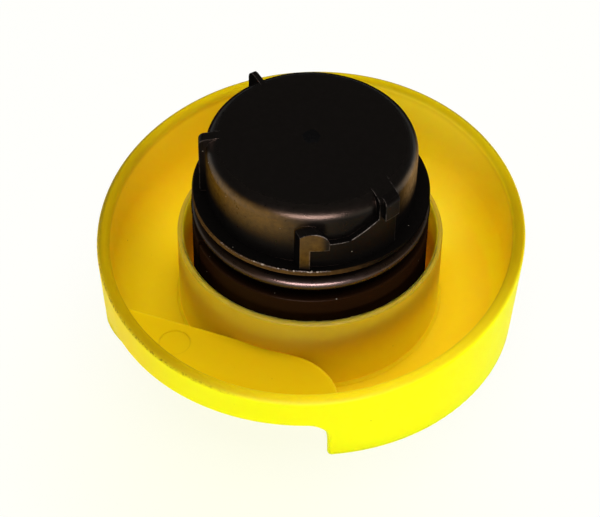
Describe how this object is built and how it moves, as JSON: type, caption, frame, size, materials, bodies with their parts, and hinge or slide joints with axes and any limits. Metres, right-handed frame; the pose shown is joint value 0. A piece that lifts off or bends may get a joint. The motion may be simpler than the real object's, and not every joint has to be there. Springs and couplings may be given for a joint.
{
  "type": "oil filler cap",
  "caption": "Round yellow cap with a leaning rim and a finger scoop, carrying a black bayonet plug with a rubber seal ring that closes an engine's oil filler neck.",
  "frame": {"origin": "on the plug's axis, on the flat outer face of the cover that the cap lies on", "axes": "+Z along the plug's axis, from the cover's outer face towards the plug's closed end; -Y towards the finger scoop"},
  "size_m": [0.0802, 0.0802, 0.043],
  "materials": {
    "cover": "satin moulded",
    "plug": "satin moulded, scuffed",
    "seal": "smooth, oiled"
  },
  "bodies": {
    "root": {"cover": "cover", "bayonet_plug": "plug", "seal_ring": "seal"}
  },
  "joints": []
}
